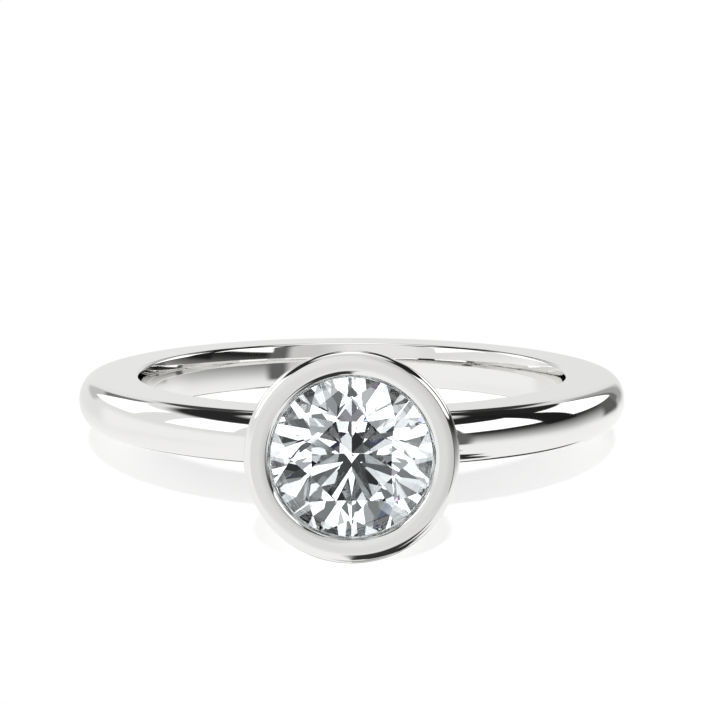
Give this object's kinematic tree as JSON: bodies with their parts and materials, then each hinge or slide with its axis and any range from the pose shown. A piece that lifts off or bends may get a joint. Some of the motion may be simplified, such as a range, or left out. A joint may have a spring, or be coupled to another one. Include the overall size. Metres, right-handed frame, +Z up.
{
  "type": "bezel set ring",
  "caption": "Finger ring lying on its side: a plain rounded band with a tapered, open-backed bezel whose raised polished rim holds a round brilliant stone.",
  "frame": {"origin": "middle of the bounding box, on the surface that the ring lies on", "axes": "+Z up, -Y the way the stone looks, +X across the band; the ring lies on the rim's lower corner and the back of the band, so its band is tilted 6.6 degrees about X"},
  "size_m": [0.0222, 0.0256, 0.0075],
  "materials": {
    "white_metal": "mirror polished white gold",
    "diamond": "cut and polished, clear and colourless"
  },
  "bodies": {
    "root": {"band_with_bezel": "white_metal", "stone": "diamond"}
  },
  "joints": []
}
